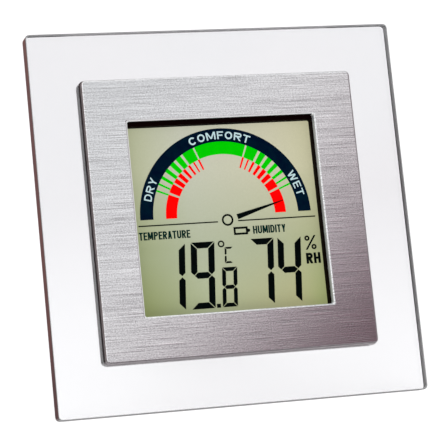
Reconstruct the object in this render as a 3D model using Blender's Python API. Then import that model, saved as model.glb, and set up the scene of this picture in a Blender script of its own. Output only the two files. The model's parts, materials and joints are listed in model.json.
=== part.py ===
"""Desk thermo-hygrometer: a square clear plate frames a brushed bezel with a liquid-crystal display.
The case behind the bezel holds the circuit board, one cylindrical cell, two push buttons, a unit
switch and a fold-out leg that holds the plate leaning back.

Every piece is placed in the device's own axes and carried by the empty "device":
x to the right, y back from the front face of the plate, z up along the plate."""

import math

import bmesh
import bpy
from mathutils import Matrix, Vector

MM = 0.001
GAP = 0.3 * MM
CLEAR = 1.0 * MM  # how far a cutter runs past the face it opens
LAP = 0.3 * MM  # how far joined shapes reach into each other
OFFSET = 0.01 * MM  # keeps the faces of joined or cut shapes from lying in one plane

# Frame plate
PLATE_SIZE = 110 * MM
PLATE_THICK = 5 * MM
PLATE_CORNER = 1.3 * MM
PLATE_RIM = 0.4 * MM

# Bezel, a square cap that passes through the plate
BEZEL_SIZE = 81.1 * MM
BEZEL_FRONT = -2.15 * MM
BEZEL_REAR = 6.6 * MM
BEZEL_WALL = 1.9 * MM
BEZEL_CORNER = 1.3 * MM
BEZEL_RIM = 0.5 * MM
BEZEL_FACE = 1.8 * MM  # thickness of the face round the window
INNER_CORNER = 0.8 * MM
WINDOW_SIZE = 56.1 * MM
WINDOW_CORNER = 0.5 * MM
WINDOW_ROUND = 0.6 * MM

# Display stack, which sits a little low in its window
LCD_FRONT = 2.85 * MM
LCD_DROP = 0.5 * MM
LCD_VIEW_WIDTH = 55.6 * MM
LCD_VIEW_HEIGHT = 54.8 * MM
LCD_GLASS_SIZE = 58 * MM
LCD_GLASS_THICK = 1.1 * MM
LCD_LEDGE = 1.9 * MM
REFLECTOR_THICK = 0.3 * MM
STRIP_WIDTH = 52 * MM
STRIP_HEIGHT = 1.3 * MM

# Display holder
HOLDER_REAR = 4.5 * MM
POST_RADIUS = 1.8 * MM
BOARD_PILOT_TIP = 2 * MM
CASE_PILOT_TIP = 1.5 * MM

# Rear housing
HOUSING_SIZE = 71.2 * MM
HOUSING_REAR = 20.4 * MM
HOUSING_WALL = 1.8 * MM
HOUSING_CORNER = 4 * MM
HOUSING_RIM = 0.9 * MM
FLANGE_THICK = 1.5 * MM
CASE_SCREW_AT = 31.2 * MM
CASE_SCREW_RADIUS = 1.0 * MM
CASE_SCREW_HEAD = 2.0 * MM
CASE_SCREW_TIP = 2.1 * MM
CASE_SCREW_TALL = 1.6 * MM
CASE_TUBE_RADIUS = 3.0 * MM
CASE_SEAT = 8.5 * MM
INNER_RADIUS = 2.5 * MM
VENT_HEIGHTS = [(-26 + 3 * n) * MM for n in range(5)]
VENT_WIDTH = 1.4 * MM
VENT_DEPTHS = (10 * MM, 17 * MM)

# Circuit board
BOARD_HALF_WIDTH = 33.2 * MM
BOARD_TOP = 11 * MM
BOARD_BOTTOM = -33.2 * MM
BOARD_FRONT = 6.3 * MM
BOARD_REAR = 7.9 * MM
BOARD_NOTCH = 6.4 * MM
BOARD_SCREW_X = 31.2 * MM
BOARD_SCREW_HEIGHTS = {"lower": -19 * MM, "upper": 7 * MM}
BOARD_SCREW_RADIUS = 0.8 * MM
BOARD_SCREW_HEAD = 1.7 * MM
BOARD_SCREW_TIP = 2.6 * MM
BOARD_SCREW_TALL = 1.1 * MM
PART_BASE = BOARD_REAR + GAP
CHIP_AT = (-4 * MM, -12 * MM)
CHIP_RADIUS = 6 * MM
CHIP_TALL = 1.4 * MM
CHIP_SLOPE = 1.4 * MM
CRYSTAL_RADIUS = 1.05 * MM
CRYSTAL_ENDS = (7 * MM, 13 * MM)
CRYSTAL_HEIGHT = -22 * MM
HUMIDITY_AT = (-26.5 * MM, -24 * MM)
HUMIDITY_SIZE = 7 * MM
HUMIDITY_TALL = 2.6 * MM
HUMIDITY_PORT = 1.6 * MM
BEAD_AT = (-18 * MM, -26 * MM)
BEAD_RADIUS = 1.2 * MM
BEAD_TALL = 2.4 * MM

# Buttons and unit switch
BUTTON_X = -26.5 * MM
BUTTON_HEIGHTS = {"upper": 1.5 * MM, "lower": -9.5 * MM}
BUTTON_RADIUS = 3 * MM
BUTTON_PROUD = 0.8 * MM
BUTTON_TRAVEL = 0.5 * MM
KEY_SIZE = 6 * MM
KEY_TALL = 3.5 * MM
PRESS_SHOULDER = 0.9 * MM  # wider ring inside the case that keeps a button in
PRESS_RING = 0.7 * MM
STEM_RADIUS = 1.6 * MM
PLUNGER_TALL = 1.8 * MM
PLUNGER_RADIUS = 1.7 * MM
PLUNGER_TOP = 12.7 * MM
UNIT_X = 26.5 * MM
UNIT_HEIGHT = -3 * MM
UNIT_TRAVEL = 2.5 * MM
UNIT_KNOB = 3.2 * MM
UNIT_PROUD = 0.6 * MM
UNIT_BODY = (4.4 * MM, 9.6 * MM)
UNIT_BODY_TALL = 3.6 * MM
UNIT_SHIELD = (5.6 * MM, 9.6 * MM)
UNIT_SHIELD_THICK = 0.7 * MM
UNIT_FORK = 1.4 * MM
UNIT_FORK_DEEP = 1.8 * MM

# Battery bay
CELL_RADIUS = 5.25 * MM
CELL_LENGTH = 43.5 * MM
CELL_HEIGHT = 21.6 * MM
CELL_DEPTH = 12.75 * MM
CELL_LEFT = -21.2 * MM
BAY_HALF_WIDTH = 24.9 * MM
BAY_FLOOR = 7.2 * MM
BAY_BOTTOM = 15.9 * MM
BAY_TOP = 27.3 * MM
BAY_WALL = 4 * MM  # at each end of the bay, round the contacts' tabs
BAY_SHELF = 2.7 * MM  # under the bay
BAY_HOLLOW = (28.8 * MM, 33.4 * MM)  # space over the bay
BAY_HOLLOW_REAR = 16.9 * MM
LID_BOTTOM = 14.7 * MM
LID_HALF_WIDTH = 25.4 * MM
LID_TONGUE = 1.2 * MM
LID_FRONT = 18.45 * MM
LID_STEP = 19.35 * MM
GRIP_WIDTH = 14 * MM
GRIP_GROOVE = 0.8 * MM
GRIP_DEEP = 0.5 * MM
GRIP_FIRST = 3 * MM
GRIP_PITCH = 1.7 * MM
CONTACT_THICK = 0.5 * MM
CONTACT_SIZE = 8.6 * MM
COIL_WIRE = 0.25 * MM
COIL_TURNS = 2.5
COIL_WIDE = 3.4 * MM
COIL_NARROW = 1.9 * MM
NUB_RADIUS = 1.9 * MM
NUB_TALL = 1 * MM
TAB_WIDTH = 2.4 * MM
TAB_HEIGHT = 19.8 * MM
TAB_DEPTH = 13.1 * MM
TAB_REACH = 31 * MM
WIRE_RADIUS = 0.5 * MM

# Stand
LEAN = math.radians(20.5)
STAND_OPEN = math.radians(45)
PIVOT_DEPTH = 18.2 * MM
PIVOT_HEIGHT = 8 * MM
LEG_WIDTH = 34 * MM
LEG_THICK = 2.4 * MM
LEG_CORNER = 6 * MM
LEG_RIM = 0.5 * MM
BARREL_RADIUS = 1.9 * MM
PIN_RADIUS = 0.9 * MM
PIN_BORE = 1.15 * MM
PIN_LENGTH = 37.6 * MM
PIN_SOCKETS = 40 * MM  # from the bottom of one socket to the bottom of the other
TUB_WALL = 2.4 * MM
TUB_FRONT = 14.6 * MM
BARREL_ROOM = 0.5 * MM
LEG_ROOM = 0.4 * MM

# The plate stands on its lower rear edge, and the leg reaches the same floor.
DEVICE_Z = (
    (PLATE_THICK - PLATE_RIM) * math.sin(LEAN)
    + (PLATE_SIZE / 2 - PLATE_RIM) * math.cos(LEAN)
    + PLATE_RIM
)
DEVICE_Y = -13.11 * MM
PIVOT_Z = DEVICE_Z + PIVOT_HEIGHT * math.cos(LEAN) - PIVOT_DEPTH * math.sin(LEAN)
LEG_SLOPE = STAND_OPEN - LEAN
LEG_LENGTH = LEG_RIM + (
    PIVOT_Z - LEG_RIM - (LEG_THICK / 2 - LEG_RIM) * math.sin(LEG_SLOPE)
) / math.cos(LEG_SLOPE)

SILVER = (0.72, 0.73, 0.76, 1)
CLEAR_PLASTIC = (0.9, 0.93, 0.95, 1)
BLACK_PLASTIC = (0.02, 0.02, 0.022, 1)
GREY_PLASTIC = (0.10, 0.10, 0.11, 1)
STEEL = (0.6, 0.6, 0.62, 1)


def clear_scene():
    for thing in list(bpy.data.objects):
        bpy.data.objects.remove(thing, do_unlink=True)
    for group in (bpy.data.meshes, bpy.data.curves, bpy.data.materials):
        for block in list(group):
            group.remove(block)


def new_collection(name):
    collection = bpy.data.collections.new(name)
    bpy.context.scene.collection.children.link(collection)
    return collection


clear_scene()
PARTS = new_collection("thermo_hygrometer")
CUTTERS = new_collection("cutters")
DEVICE = bpy.data.objects.new("device", None)
DEVICE.location = (0, DEVICE_Y, DEVICE_Z)
DEVICE.rotation_euler = (-LEAN, 0, 0)
PARTS.objects.link(DEVICE)


# Shapes -------------------------------------------------------------------------------------------


def round_edges(bm, edges, radius, steps):
    bmesh.ops.bevel(
        bm, geom=edges, offset=radius, segments=steps, profile=0.5, affect="EDGES"
    )


def face_edges(bm, side):
    """The edges round the flat face that looks towards side (-1 front, 1 rear)."""
    bm.normal_update()
    faces = [f for f in bm.faces if f.normal.y * side > 0.99]
    return list({e for f in faces for e in f.edges})


def block(width, height, front, rear, at=(0, 0), corner=0.0, front_rim=0.0, rear_rim=0.0):
    """A block seen from the front as width by height about at, from depth front to depth rear."""
    bm = bmesh.new()
    centre = Vector((at[0], (front + rear) / 2, at[1]))
    size = Vector((width, rear - front, height))
    bmesh.ops.create_cube(bm, size=1, matrix=Matrix.LocRotScale(centre, None, size))
    if corner:
        along = [e for e in bm.edges if abs(e.verts[0].co.y - e.verts[1].co.y) > size.y / 2]
        round_edges(bm, along, corner, 4)
    if front_rim:
        round_edges(bm, face_edges(bm, -1), front_rim, 3)
    if rear_rim:
        round_edges(bm, face_edges(bm, 1), rear_rim, 2)
    return bm


def rod(radius, start, end, at=(0, 0), sides=24, end_radius=None):
    """A round bar along the depth, from depth start to depth end."""
    bm = bmesh.new()
    turn = Matrix.Rotation(-math.pi / 2, 4, "X")
    move = Matrix.Translation((at[0], (start + end) / 2, at[1]))
    bmesh.ops.create_cone(
        bm,
        cap_ends=True,
        segments=sides,
        radius1=radius,
        radius2=radius if end_radius is None else end_radius,
        depth=end - start,
        matrix=move @ turn,
    )
    return bm


def crossbar(radius, left, right, depth=0.0, height=0.0, sides=24):
    """A round bar along x."""
    bm = bmesh.new()
    turn = Matrix.Rotation(math.pi / 2, 4, "Y")
    move = Matrix.Translation(((left + right) / 2, depth, height))
    bmesh.ops.create_cone(
        bm,
        cap_ends=True,
        segments=sides,
        radius1=radius,
        radius2=radius,
        depth=right - left,
        matrix=move @ turn,
    )
    return bm


def together(*shapes):
    """Several separate shapes in one mesh."""
    bm = shapes[0]
    for other in shapes[1:]:
        mesh = bpy.data.meshes.new("shape")
        other.to_mesh(mesh)
        other.free()
        bm.from_mesh(mesh)
        bpy.data.meshes.remove(mesh)
    return bm


# Objects ------------------------------------------------------------------------------------------


def finish_material(name, colour, roughness, metallic):
    material = bpy.data.materials.new(name)
    material.use_nodes = True
    shader = material.node_tree.nodes["Principled BSDF"]
    shader.inputs["Base Color"].default_value = colour
    shader.inputs["Roughness"].default_value = roughness
    shader.inputs["Metallic"].default_value = metallic
    return material


def hang(obj, collection, at, turn):
    obj.parent = DEVICE
    obj.location = at
    obj.rotation_euler = (turn, 0, 0)
    collection.objects.link(obj)


def mesh_object(name, bm, collection, at, turn):
    mesh = bpy.data.meshes.new(name)
    bm.to_mesh(mesh)
    bm.free()
    mesh.shade_smooth()
    mesh.set_sharp_from_angle(angle=math.radians(35))
    obj = bpy.data.objects.new(name, mesh)
    hang(obj, collection, at, turn)
    return obj


def piece(name, bm, colour, roughness=0.5, metallic=0.0, at=(0, 0, 0), turn=0.0):
    """One sub-part, with its own material. Its shape is drawn about at."""
    obj = mesh_object(name, bm, PARTS, at, turn)
    obj.data.materials.append(finish_material(name, colour, roughness, metallic))
    return obj


def combine(obj, bm, operation):
    """Joins a helper shape to a piece, or cuts it away."""
    count = len(obj.modifiers) + 1
    helper = mesh_object(f"{obj.name}_{operation.lower()}_{count}", bm, CUTTERS, obj.location, 0)
    helper.rotation_euler = obj.rotation_euler
    helper.hide_render = True
    helper.display_type = "WIRE"
    step = obj.modifiers.new(helper.name, "BOOLEAN")
    step.operation = operation
    step.solver = "EXACT"
    step.object = helper


def cut(obj, bm):
    combine(obj, bm, "DIFFERENCE")


def join(obj, bm):
    combine(obj, bm, "UNION")


def tube(name, points, radius, colour, roughness, metallic):
    """A wire along a list of points."""
    curve = bpy.data.curves.new(name, "CURVE")
    curve.dimensions = "3D"
    curve.bevel_depth = radius
    curve.bevel_resolution = 2
    curve.use_fill_caps = True
    spline = curve.splines.new("POLY")
    spline.points.add(len(points) - 1)
    for point, place in zip(spline.points, points):
        point.co = (*place, 1)
    obj = bpy.data.objects.new(name, curve)
    hang(obj, PARTS, (0, 0, 0), 0)
    curve.materials.append(finish_material(name, colour, roughness, metallic))
    return obj


def smooth_path(stations, steps=5):
    """Points of a curve that runs smoothly through the stations."""
    ends = [stations[0], *stations, stations[-1]]
    points = []
    for before, start, end, after in zip(ends, ends[1:], ends[2:], ends[3:]):
        a, b, c, d = (Vector(p) for p in (before, start, end, after))
        for n in range(steps):
            t = n / steps
            bend = (2 * a - 5 * b + 4 * c - d) * t * t + (3 * b - a - 3 * c + d) * t**3
            points.append(b + ((c - a) * t + bend) / 2)
    return [*points, Vector(stations[-1])]


# Frame, bezel and display -------------------------------------------------------------------------


def frame_plate():
    plate = piece(
        "frame_plate",
        block(PLATE_SIZE, PLATE_SIZE, 0, PLATE_THICK, corner=PLATE_CORNER,
              front_rim=PLATE_RIM, rear_rim=PLATE_RIM),
        CLEAR_PLASTIC, 0.05,
    )
    hole = BEZEL_SIZE + 2 * GAP
    cut(plate, block(hole, hole, -CLEAR, PLATE_THICK + CLEAR, corner=BEZEL_CORNER + GAP))


def bezel():
    cap = piece(
        "bezel",
        block(BEZEL_SIZE, BEZEL_SIZE, BEZEL_FRONT, BEZEL_REAR, corner=BEZEL_CORNER, front_rim=BEZEL_RIM),
        SILVER, 0.3, 0.9,
    )
    cavity = BEZEL_SIZE - 2 * BEZEL_WALL
    floor = BEZEL_FRONT + BEZEL_FACE
    cut(cap, block(cavity, cavity, floor, BEZEL_REAR + CLEAR, corner=INNER_CORNER))
    cut(cap, window(floor + CLEAR))


def window(rear):
    """The opening in the bezel, flared along a quarter circle at its front edge."""
    opening = block(WINDOW_SIZE, WINDOW_SIZE, BEZEL_FRONT + WINDOW_ROUND, rear, corner=WINDOW_CORNER)
    opening.normal_update()
    face = min(opening.faces, key=lambda f: f.normal.y)
    size = WINDOW_SIZE
    steps = 4
    for n in range(steps + 1):
        angle = min(n + 1, steps) / steps * math.pi / 2
        face = bmesh.ops.extrude_discrete_faces(opening, faces=[face])["faces"][0]
        wide = WINDOW_SIZE + 2 * WINDOW_ROUND * (1 - math.cos(angle))
        ahead = CLEAR if n == steps else OFFSET
        depth = BEZEL_FRONT + WINDOW_ROUND * (1 - math.sin(angle)) - ahead
        for corner in face.verts:
            corner.co = (corner.co.x * wide / size, depth, corner.co.z * wide / size)
        size = wide
    return opening


def display_holder():
    """The black frame behind the bezel. Its pocket takes the glass, its posts the board and case."""
    size = BEZEL_SIZE - 2 * BEZEL_WALL - 2 * GAP
    front = BEZEL_FRONT + BEZEL_FACE + GAP
    holder = piece("display_holder", block(size, size, front, HOLDER_REAR, corner=INNER_CORNER),
                   BLACK_PLASTIC, 0.5)
    posts = [
        rod(POST_RADIUS, HOLDER_REAR - CLEAR, BOARD_FRONT - GAP, at=(side * BOARD_SCREW_X, height))
        for side in (-1, 1)
        for height in BOARD_SCREW_HEIGHTS.values()
    ]
    join(holder, together(*posts))
    pocket = LCD_GLASS_SIZE + 2 * GAP
    middle = (0, -LCD_DROP)
    cut(holder, block(LCD_VIEW_WIDTH, LCD_VIEW_HEIGHT, front - CLEAR, HOLDER_REAR, at=middle,
                      corner=WINDOW_CORNER))
    cut(holder, block(pocket, pocket, LCD_FRONT - GAP, HOLDER_REAR + CLEAR, at=middle))
    pilots = [
        rod(BOARD_SCREW_RADIUS + GAP, BOARD_PILOT_TIP, BOARD_FRONT, at=(side * BOARD_SCREW_X, height))
        for side in (-1, 1)
        for height in BOARD_SCREW_HEIGHTS.values()
    ]
    pilots += [
        rod(CASE_SCREW_RADIUS + GAP, CASE_PILOT_TIP, HOLDER_REAR + CLEAR,
            at=(side * CASE_SCREW_AT, rise * CASE_SCREW_AT))
        for side in (-1, 1)
        for rise in (-1, 1)
    ]
    cut(holder, together(*pilots))


def display_stack():
    """Front glass, rear glass set back above the contact ledge, reflector and contact strip."""
    size = LCD_GLASS_SIZE
    rear_front = LCD_FRONT + LCD_GLASS_THICK + GAP
    reflector_front = rear_front + LCD_GLASS_THICK + GAP
    piece("lcd_front_glass",
          block(size, size, LCD_FRONT, LCD_FRONT + LCD_GLASS_THICK, at=(0, -LCD_DROP)),
          (0.55, 0.58, 0.45, 1), 0.15)
    raised = (0, LCD_LEDGE / 2 - LCD_DROP)
    piece("lcd_rear_glass",
          block(size, size - LCD_LEDGE, rear_front, rear_front + LCD_GLASS_THICK, at=raised),
          (0.6, 0.63, 0.5, 1), 0.15)
    piece("lcd_reflector",
          block(size - MM, size - LCD_LEDGE - MM, reflector_front, reflector_front + REFLECTOR_THICK,
                at=raised),
          (0.7, 0.72, 0.65, 1), 0.4, 0.5)
    ledge = (0, (LCD_LEDGE - size - GAP) / 2 - LCD_DROP)
    piece("contact_strip",
          block(STRIP_WIDTH, STRIP_HEIGHT, rear_front, BOARD_FRONT - GAP, at=ledge),
          (0.35, 0.12, 0.12, 1), 0.7)


# Circuit board ------------------------------------------------------------------------------------


def circuit_board():
    height = BOARD_TOP - BOARD_BOTTOM
    middle = (BOARD_TOP + BOARD_BOTTOM) / 2
    board = piece("circuit_board",
                  block(2 * BOARD_HALF_WIDTH, height, BOARD_FRONT, BOARD_REAR, at=(0, middle)),
                  (0.03, 0.18, 0.07, 1), 0.45)
    notches = [
        block(2 * BOARD_NOTCH, 2 * BOARD_NOTCH, BOARD_FRONT - CLEAR, BOARD_REAR + CLEAR,
              at=(side * BOARD_HALF_WIDTH, BOARD_BOTTOM))
        for side in (-1, 1)
    ]
    holes = [
        rod(BOARD_SCREW_RADIUS + GAP, BOARD_FRONT - CLEAR, BOARD_REAR + CLEAR,
            at=(side * BOARD_SCREW_X, rise))
        for side in (-1, 1)
        for rise in BOARD_SCREW_HEIGHTS.values()
    ]
    cut(board, together(*notches, *holes))


def board_parts():
    piece("controller_chip", rod(CHIP_RADIUS, PART_BASE, PART_BASE + CHIP_TALL, at=CHIP_AT,
                                 sides=28, end_radius=CHIP_RADIUS - CHIP_SLOPE), BLACK_PLASTIC, 0.3)
    piece("clock_crystal",
          crossbar(CRYSTAL_RADIUS, *CRYSTAL_ENDS, PART_BASE + CRYSTAL_RADIUS, CRYSTAL_HEIGHT, 16),
          STEEL, 0.25, 1.0)
    sensor_rear = PART_BASE + HUMIDITY_TALL
    sensor = piece("humidity_sensor",
                   block(HUMIDITY_SIZE, HUMIDITY_SIZE, PART_BASE, sensor_rear, at=HUMIDITY_AT,
                         corner=0.6 * MM),
                   (0.8, 0.8, 0.76, 1), 0.5)
    cut(sensor, rod(HUMIDITY_PORT, PART_BASE + HUMIDITY_TALL / 2, sensor_rear + CLEAR, at=HUMIDITY_AT))
    bead = rod(BEAD_RADIUS, PART_BASE, PART_BASE + BEAD_TALL, at=BEAD_AT, sides=16)
    round_edges(bead, face_edges(bead, 1), 0.6 * BEAD_RADIUS, 3)
    piece("temperature_sensor", bead, (0.25, 0.08, 0.03, 1), 0.3)


def screw(name, at, shank_radius, head_radius, tip, seat, head_height):
    """A screw driven from the rear, with a cross in its head."""
    body = piece(name, rod(head_radius, seat, seat + head_height, at=at, sides=20), STEEL, 0.3, 1.0)
    join(body, rod(shank_radius, tip, seat + LAP, at=at, sides=16))
    top = seat + head_height
    slot = head_height * 0.5
    bar = (1.3 * head_radius, 0.3 * head_radius)
    cut(body, block(bar[0], bar[1], top - slot, top + CLEAR, at=at))
    cut(body, block(bar[1], bar[0], top - slot, top + CLEAR, at=at))


def screws():
    sides = {"left": -1, "right": 1}
    for side, x in sides.items():
        for level, height in BOARD_SCREW_HEIGHTS.items():
            screw(f"board_screw_{level}_{side}", (x * BOARD_SCREW_X, height), BOARD_SCREW_RADIUS,
                  BOARD_SCREW_HEAD, BOARD_SCREW_TIP, PART_BASE, BOARD_SCREW_TALL)
        for level, rise in (("lower", -1), ("upper", 1)):
            screw(f"case_screw_{level}_{side}", (x * CASE_SCREW_AT, rise * CASE_SCREW_AT),
                  CASE_SCREW_RADIUS, CASE_SCREW_HEAD, CASE_SCREW_TIP, CASE_SEAT + GAP,
                  CASE_SCREW_TALL)


# Rear housing -------------------------------------------------------------------------------------


def rear_housing():
    inner = HOUSING_SIZE - 2 * HOUSING_WALL
    inner_rear = HOUSING_REAR - HOUSING_WALL
    root = HOUSING_REAR - HOUSING_WALL / 2  # depth inside the rear wall where inner walls begin
    front = HOLDER_REAR + GAP
    shell = piece(
        "rear_housing",
        block(HOUSING_SIZE, HOUSING_SIZE, front, HOUSING_REAR, corner=HOUSING_CORNER,
              rear_rim=HOUSING_RIM),
        GREY_PLASTIC, 0.6,
    )
    flange = BEZEL_SIZE - 2 * BEZEL_WALL - 3 * GAP
    join(shell, block(flange, flange, front + OFFSET, front + FLANGE_THICK, corner=INNER_CORNER))
    cut(shell, block(inner, inner, front - CLEAR, inner_rear, corner=INNER_RADIUS))
    join(shell, battery_bay_walls(root))
    join(shell, stand_recess_walls(root))
    tubes = [(x * CASE_SCREW_AT, z * CASE_SCREW_AT) for x in (-1, 1) for z in (-1, 1)]
    join(shell, together(*[rod(CASE_TUBE_RADIUS, front + 2 * OFFSET, root, at=at) for at in tubes]))
    cut(shell, together(*[
        rod(CASE_SCREW_RADIUS + GAP, front - CLEAR, CASE_SEAT + CLEAR, at=at) for at in tubes
    ]))
    cut(shell, together(*[
        rod(CASE_SCREW_HEAD + GAP, CASE_SEAT, HOUSING_REAR + CLEAR, at=at) for at in tubes
    ]))
    cut_battery_bay(shell)
    cut_stand_recess(shell)
    cut_controls(shell, inner_rear)
    cut(shell, together(*[
        block(2 * (HOUSING_WALL + CLEAR), VENT_WIDTH, *VENT_DEPTHS, at=(side * HOUSING_SIZE / 2, z))
        for side in (-1, 1)
        for z in VENT_HEIGHTS
    ]))


def battery_bay_walls(root):
    """The solid round the battery bay, from the display to inside the rear wall."""
    width = 2 * (BAY_HALF_WIDTH + BAY_WALL)
    bottom = BAY_BOTTOM - BAY_SHELF
    top = (HOUSING_SIZE - HOUSING_WALL) / 2
    return block(width, top - bottom, BOARD_FRONT, root, at=(0, (top + bottom) / 2))


def cut_battery_bay(shell):
    cut(shell, block(2 * BAY_HALF_WIDTH, BAY_TOP - BAY_BOTTOM, BAY_FLOOR, HOUSING_REAR + CLEAR,
                     at=(0, (BAY_TOP + BAY_BOTTOM) / 2)))
    channel_top = HOUSING_SIZE / 2 + CLEAR
    channel_bottom = LID_BOTTOM - GAP
    middle = (0, (channel_top + channel_bottom) / 2)
    height = channel_top - channel_bottom
    opening = 2 * (LID_HALF_WIDTH + GAP)
    cut(shell, block(opening, height, LID_FRONT - GAP, HOUSING_REAR + CLEAR, at=middle))
    groove = opening + 2 * LID_TONGUE
    cut(shell, block(groove, height, LID_FRONT - GAP, LID_STEP + GAP, at=middle))
    low, high = BAY_HOLLOW
    cut(shell, block(2 * BAY_HALF_WIDTH, high - low, BOARD_FRONT - CLEAR, BAY_HOLLOW_REAR,
                     at=(0, (low + high) / 2)))
    slot = BAY_WALL + 2 * CLEAR
    half_thick = CONTACT_THICK / 2 + 1.2 * GAP
    cut(shell, together(*[
        block(slot, TAB_WIDTH + 2 * GAP, TAB_DEPTH - half_thick, TAB_DEPTH + half_thick,
              at=(side * (BAY_HALF_WIDTH + BAY_WALL / 2), TAB_HEIGHT))
        for side in (-1, 1)
    ]))


def stand_recess_walls(root):
    """The tub behind the board that the folded leg lies in."""
    top = PIVOT_HEIGHT + BARREL_RADIUS + TUB_WALL
    bottom = -(HOUSING_SIZE - HOUSING_WALL) / 2
    return block(LEG_WIDTH + 2 * TUB_WALL, top - bottom, TUB_FRONT, root, at=(0, (top + bottom) / 2))


def cut_stand_recess(shell):
    width = LEG_WIDTH + 2 * GAP
    barrel = 2 * (BARREL_RADIUS + BARREL_ROOM)
    cut(shell, block(width, barrel, PIVOT_DEPTH - BARREL_RADIUS - BARREL_ROOM, HOUSING_REAR + CLEAR,
                     at=(0, PIVOT_HEIGHT)))
    bottom = -HOUSING_SIZE / 2 - CLEAR
    cut(shell, block(width - 2 * OFFSET, PIVOT_HEIGHT - bottom, PIVOT_DEPTH - LEG_THICK / 2 - LEG_ROOM,
                     HOUSING_REAR + CLEAR, at=(0, (PIVOT_HEIGHT + bottom) / 2)))
    cut(shell, crossbar(PIN_BORE, -PIN_SOCKETS / 2, PIN_SOCKETS / 2, PIVOT_DEPTH, PIVOT_HEIGHT))


def cut_controls(shell, inner_rear):
    buttons = [
        rod(BUTTON_RADIUS + GAP, inner_rear - CLEAR, HOUSING_REAR + CLEAR, at=(BUTTON_X, z))
        for z in BUTTON_HEIGHTS.values()
    ]
    slot = block(UNIT_KNOB + 2 * GAP, UNIT_KNOB + UNIT_TRAVEL + 2 * GAP, inner_rear - CLEAR,
                 HOUSING_REAR + CLEAR, at=(UNIT_X, UNIT_HEIGHT))
    cut(shell, together(*buttons, slot))


# Battery ------------------------------------------------------------------------------------------


def battery():
    right = CELL_LEFT + CELL_LENGTH
    cell = piece("battery_cell", crossbar(CELL_RADIUS, CELL_LEFT, right, CELL_DEPTH, CELL_HEIGHT, 32),
                 (0.1, 0.1, 0.11, 1), 0.35)
    join(cell, crossbar(NUB_RADIUS, right - LAP, right + NUB_TALL, CELL_DEPTH, CELL_HEIGHT, 20))
    contact("contact_positive", right + NUB_TALL + GAP, 1)
    contact("contact_negative", -BAY_HALF_WIDTH + GAP + CONTACT_THICK, -1)
    coil = battery_coil(-BAY_HALF_WIDTH + 2 * GAP + CONTACT_THICK, CELL_LEFT - GAP)
    tube("contact_spring", coil, COIL_WIRE, STEEL, 0.25, 1.0)


def contact(name, face, side):
    """A contact plate whose inner face is at x = face, with a tab out through the bay's end wall."""
    half = CONTACT_SIZE / 2
    plate = block(CONTACT_THICK, CONTACT_SIZE, CELL_DEPTH - half, CELL_DEPTH + half,
                  at=(face + side * CONTACT_THICK / 2, CELL_HEIGHT))
    obj = piece(name, plate, STEEL, 0.25, 1.0)
    root = face + side * CONTACT_THICK / 3
    end = side * TAB_REACH
    half_thick = CONTACT_THICK / 2
    join(obj, block(abs(end - root), TAB_WIDTH, TAB_DEPTH - half_thick, TAB_DEPTH + half_thick,
                    at=((root + end) / 2, TAB_HEIGHT)))


def battery_coil(left, right):
    """Centre line of a cone-shaped coil whose wire just fits between left and right."""
    steps = 30
    points = []
    for n in range(steps + 1):
        share = n / steps
        angle = share * COIL_TURNS * 2 * math.pi
        radius = COIL_WIDE + (COIL_NARROW - COIL_WIDE) * share
        x = left + COIL_WIRE + (right - left - 2 * COIL_WIRE) * share
        points.append((x, CELL_DEPTH + radius * math.cos(angle), CELL_HEIGHT + radius * math.sin(angle)))
    return points


def wires():
    """Leads from the contact tabs down to the circuit board."""
    solder = PART_BASE + WIRE_RADIUS
    for name, side, colour in (
        ("lead_negative", -1, (0.02, 0.02, 0.02, 1)),
        ("lead_positive", 1, (0.5, 0.02, 0.02, 1)),
    ):
        stations = [
            (side * 30.6 * MM, TAB_DEPTH, TAB_HEIGHT - 2.1 * MM),
            (side * 31.2 * MM, TAB_DEPTH - 0.5 * MM, 14.5 * MM),
            (side * 29.5 * MM, 11 * MM, 10.5 * MM),
            (side * 25.5 * MM, solder + 0.3 * MM, 8.3 * MM),
            (side * 22.5 * MM, solder, 8 * MM),
        ]
        tube(name, smooth_path(stations), WIRE_RADIUS, colour, 0.5, 0.0)


def battery_lid():
    """The lid slides up out of its grooves. Its origin lies on its slide's axis."""
    height = HOUSING_SIZE / 2 - LID_BOTTOM
    lid_at = (0, LID_FRONT, (HOUSING_SIZE / 2 + LID_BOTTOM) / 2)
    step = LID_STEP - LID_FRONT
    rear = HOUSING_REAR - LID_FRONT
    lid = piece("battery_lid", block(2 * (LID_HALF_WIDTH + LID_TONGUE), height, 0, step),
                GREY_PLASTIC, 0.6, at=lid_at)
    join(lid, block(2 * LID_HALF_WIDTH, height - 2 * OFFSET, step / 2, rear))
    grooves = [
        block(GRIP_WIDTH, GRIP_GROOVE, rear - GRIP_DEEP, rear + CLEAR, at=(0, GRIP_FIRST + n * GRIP_PITCH))
        for n in range(4)
    ]
    cut(lid, together(*grooves))


# Controls -----------------------------------------------------------------------------------------


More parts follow.
